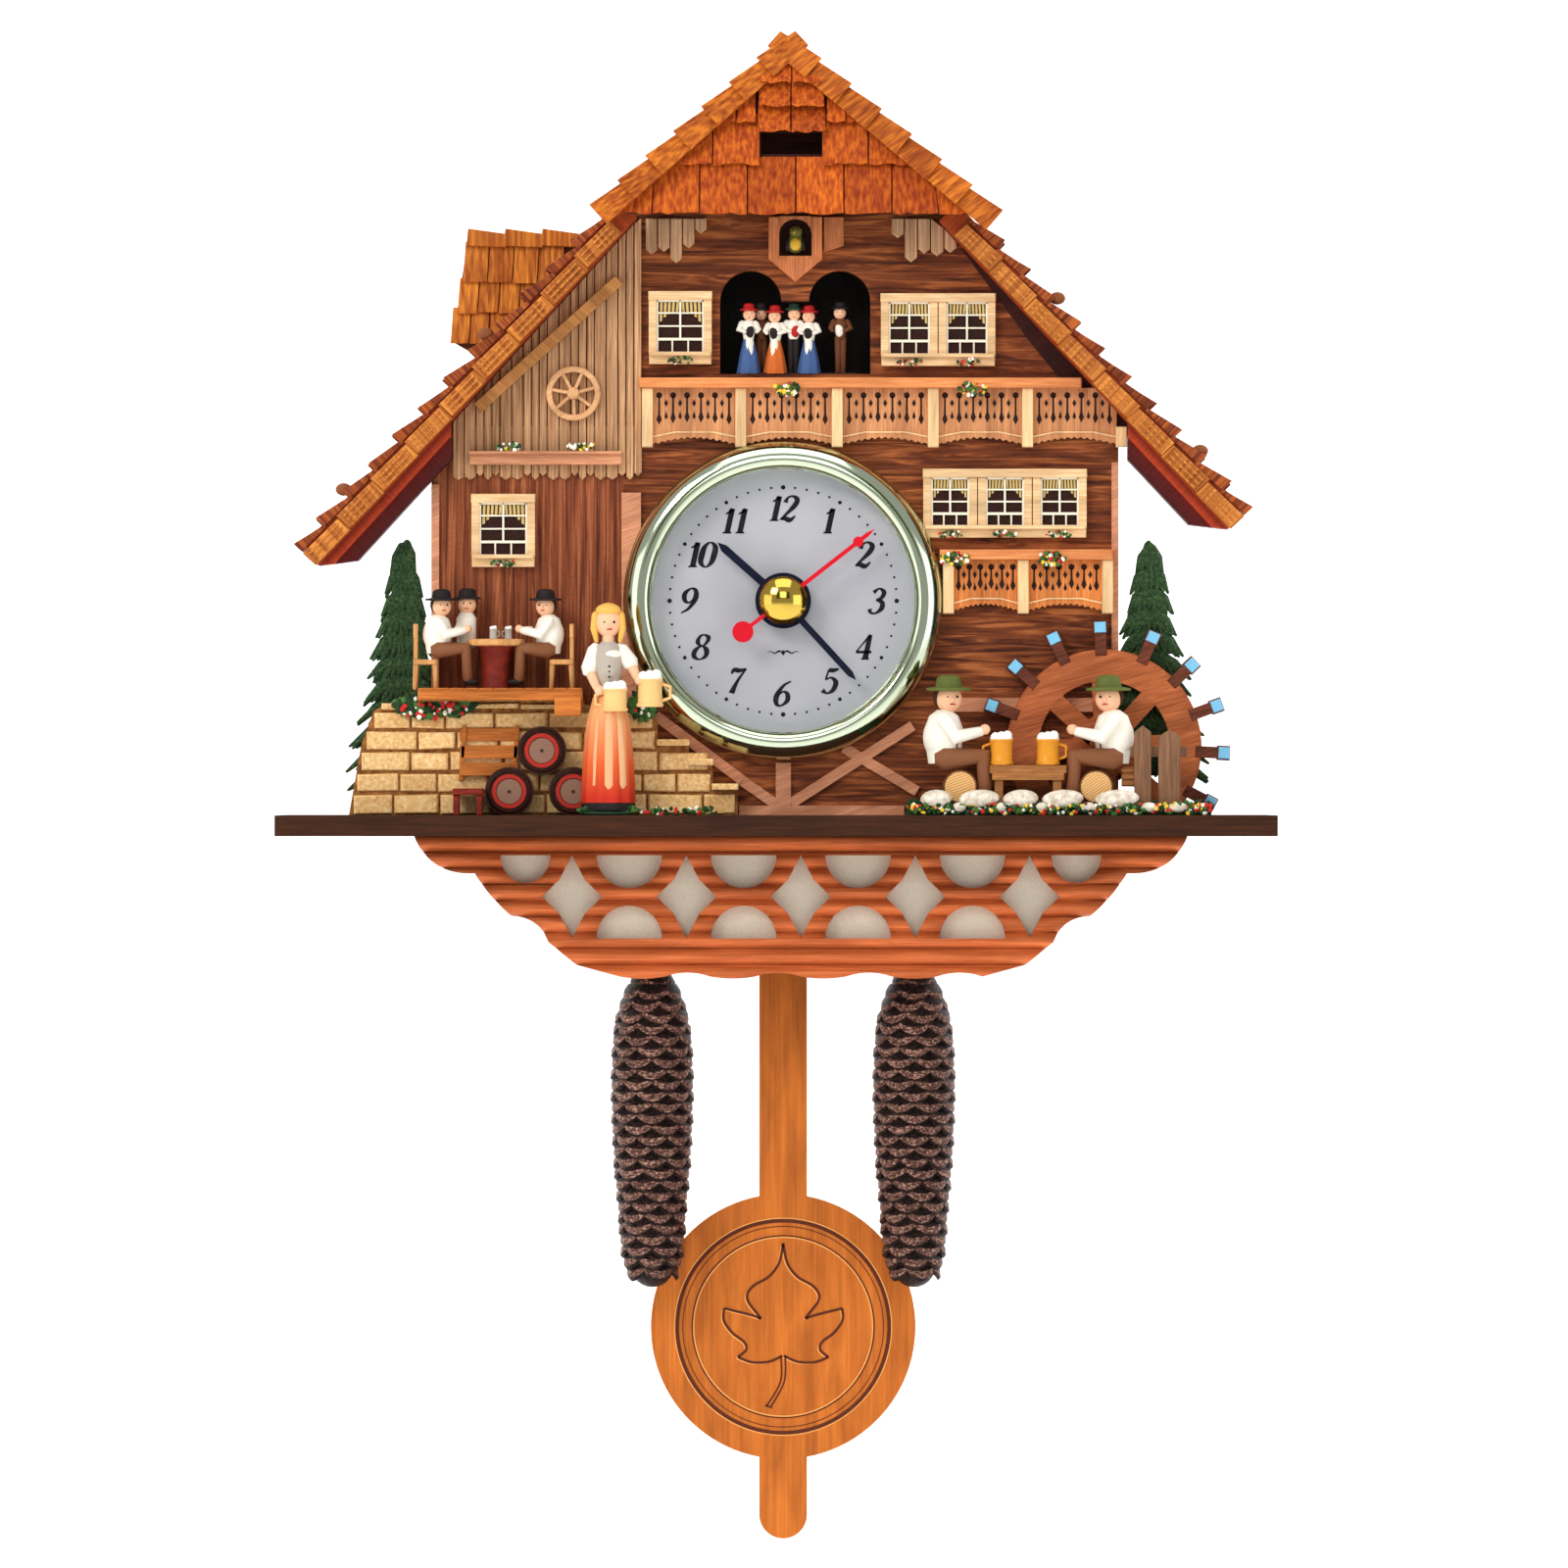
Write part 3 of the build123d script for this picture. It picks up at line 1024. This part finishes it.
with BuildPart() as motion_wheel:
    gear(CANNON_MODULE, MOTION_TEETH, MOTION_PHASE, MOTION, 27.1, 27.9)
    gear(HOUR_MODULE, MOTION_PINION, 0, MOTION, 27.9, 29.5)
    rod(MOTION[0], MOTION[1], 27.0, 29.6, WHEEL_BORE, Mode.SUBTRACT)
motion_wheel.part.label = "motion_wheel"
export_step(motion_wheel.part, "parts/motion_wheel.step")

with BuildPart() as set_knob:
    knob_phase = meshed(MOTION_PHASE, MOTION_TEETH, KNOB_TEETH, KNOB_ANGLE)
    gear(CANNON_MODULE, KNOB_TEETH, knob_phase, KNOB, 26.9, 28.1)
    rod(KNOB[0], KNOB[1], 14.5, 28.1, 0.9)
    rod(KNOB[0], KNOB[1], 12.0, 14.6, 4.0)
    block(KNOB[0] - 0.4, KNOB[0] + 0.4, 12.0, 12.6, KNOB[1] - 3.0, KNOB[1] + 3.0, Mode.SUBTRACT)
set_knob.part.label = "set_knob"
export_step(set_knob.part, "parts/set_knob.step")

THIRD_PHASE = meshed(0, SECONDS_PINION, THIRD_TEETH, THIRD_ANGLE)
with BuildPart() as third_wheel:
    gear(THIRD_MODULE, THIRD_TEETH, THIRD_PHASE, THIRD, 23.7, 24.5)
    gear(RING_MODULE, THIRD_PINION, 0, THIRD, 24.5, 26.5)
    rod(THIRD[0], THIRD[1], 23.6, 26.6, WHEEL_BORE, Mode.SUBTRACT)
third_wheel.part.label = "third_wheel"
export_step(third_wheel.part, "parts/third_wheel.step")

with BuildPart() as minute_wheel:
    gear(RING_MODULE, RING_TEETH, meshed(0, THIRD_PINION, RING_TEETH, THIRD_ANGLE + 180), CENTRE, 25.4, 26.2)
    rod(0, DIAL_Z, 25.3, 26.3, MINUTE_TUBE_R + FIT, Mode.SUBTRACT)
minute_wheel.part.label = "minute_wheel"
export_step(minute_wheel.part, "parts/minute_wheel.step")

FIFTH_PHASE = meshed(0, SECONDS_TEETH, FIFTH_PINION, FIFTH_ANGLE)
with BuildPart() as fifth_wheel:
    gear(FAST_MODULE, FIFTH_TEETH, FIFTH_PHASE, FIFTH, 19.8, 20.6)
    gear(FAST_MODULE, FIFTH_PINION, FIFTH_PHASE, FIFTH, 20.6, 22.6)
    rod(FIFTH[0], FIFTH[1], 19.7, 22.7, WHEEL_BORE, Mode.SUBTRACT)
fifth_wheel.part.label = "fifth_wheel"
export_step(fifth_wheel.part, "parts/fifth_wheel.step")

with BuildPart() as rotor:
    rod(ROTOR[0], ROTOR[1], 17.2, 19.4, 2.6)
    rod(ROTOR[0], ROTOR[1], 19.4, 19.8, 1.2)
    rotor_phase = meshed(FIFTH_PHASE, FIFTH_TEETH, ROTOR_PINION, ROTOR_ANGLE)
    gear(FAST_MODULE * 1.02, ROTOR_PINION, rotor_phase, ROTOR, 19.8, 20.8)
    rod(ROTOR[0], ROTOR[1], 17.1, 21.0, ROTOR_STUD + FIT, Mode.SUBTRACT)
rotor.part.label = "rotor"
export_step(rotor.part, "parts/rotor.step")

# ================= pendulum drive =================
DRIVE_BACK, DRIVE_FRONT, DRIVE_HALF = 12.2, 29.4, 26.6
with BuildPart() as drive_case:
    block(-DRIVE_HALF, DRIVE_HALF, DRIVE_BACK, DRIVE_FRONT, -138.6, SKIRT_TOP)
    block(-14.0, 14.0, DRIVE_BACK, DRIVE_FRONT, -150.0, -138.6)
    block(-25.7, 25.7, DRIVE_BACK, DRIVE_FRONT - SKIN, -138.0, -123.2, Mode.SUBTRACT)
    block(-12.8, 12.8, DRIVE_BACK + SKIN, DRIVE_FRONT - SKIN, -148.8, -139.8, Mode.SUBTRACT)
    block(-4.0, 4.0, 9.0, DRIVE_BACK, SKIRT_TOP - 1.2, SKIRT_TOP)
    rod(0, DRIVE_PIVOT_Z, 8.6, 12.2, 1.2)
    block(-2.0, 2.0, DRIVE_BACK, 13.4, -128.0, -121.0)
drive_case.part.label = "drive_case"
export_step(drive_case.part, "parts/drive_case.step")

with BuildPart() as drive_coil:
    with Locations((0, -18.0, -144.3)):
        Cylinder(3.8, 7.0, rotation=(90, 0, 0))
drive_coil.part.label = "drive_coil"
export_step(drive_coil.part, "parts/drive_coil.step")

# ---- rocker that the drive kicks, and the wooden pendulum hooked on it ----
with BuildPart() as pendulum_hanger:
    with BuildSketch(face(9.0)):
        with Locations((0, DRIVE_PIVOT_Z)):
            Circle(2.8)
        panel(-2.0, 2.0, -147.0, DRIVE_PIVOT_Z)
        with Locations((0, -144.3)):
            Circle(3.4)
        with Locations((0, DRIVE_PIVOT_Z)):
            Circle(1.2 + FIT, mode=Mode.SUBTRACT)
    extrude(amount=2.4)
pendulum_hanger.part.label = "pendulum_hanger"
export_step(pendulum_hanger.part, "parts/pendulum_hanger.step")

STEM_W, STEM_TOP, TAB_FOOT = 11.2, -134.0, -285.6
PENDULUM_BACK, PENDULUM_T = 5.6, 3.4
with BuildPart() as pendulum_board:
    with BuildSketch(face(PENDULUM_BACK)):
        panel(-STEM_W / 2, STEM_W / 2, TAB_FOOT + STEM_W / 2, STEM_TOP)
        with Locations((0, BOB_Z)):
            Circle(BOB_R)
        with Locations((0, TAB_FOOT + STEM_W / 2)):
            Circle(STEM_W / 2)
    extrude(amount=PENDULUM_T)
    with BuildSketch(face(PENDULUM_BACK + PENDULUM_T - 0.6)):
        with Locations((0, BOB_Z)):
            Circle(25.4)
            Circle(24.4, mode=Mode.SUBTRACT)
    extrude(amount=0.6, mode=Mode.SUBTRACT)
pendulum_board.part.label = "pendulum_board"
export_step(pendulum_board.part, "parts/pendulum_board.step")

# ================= pine-cone weights =================
CONE_PROFILE = (
    (4.0, -152.6), (7.6, -158.0), (9.7, -168.0), (10.0, -178.0), (9.4, -192.0),
    (8.2, -206.0), (6.9, -218.0), (4.4, -224.6), (0.0, -226.4),
)
for name, x in (("pinecone_left", -CONE_X), ("pinecone_right", CONE_X)):
    with BuildPart() as pinecone:
        with BuildSketch(Plane(origin=(x, -CONE_DEPTH, 0), x_dir=(1, 0, 0), z_dir=(0, -1, 0))):
            with BuildLine():
                Polyline(CONE_PROFILE[-1], (0, CONE_PROFILE[0][1]), CONE_PROFILE[0])
                Spline(*CONE_PROFILE)
            make_face()
        revolve(axis=Axis((x, -CONE_DEPTH, 0), (0, 0, 1)))
        block(x - 2.4, x + 2.4, CONE_DEPTH - 1, CONE_DEPTH + 1, -153.5, CONE_PIN_Z)
        rod(x, CONE_PIN_Z, CONE_DEPTH - 1, CONE_DEPTH + 1, 2.4)
        rod(x, CONE_PIN_Z, CONE_DEPTH - 1, CONE_DEPTH + 1, 1.0 + FIT, Mode.SUBTRACT)
    pinecone.part.label = name
    export_step(pinecone.part, f"parts/{name}.step")
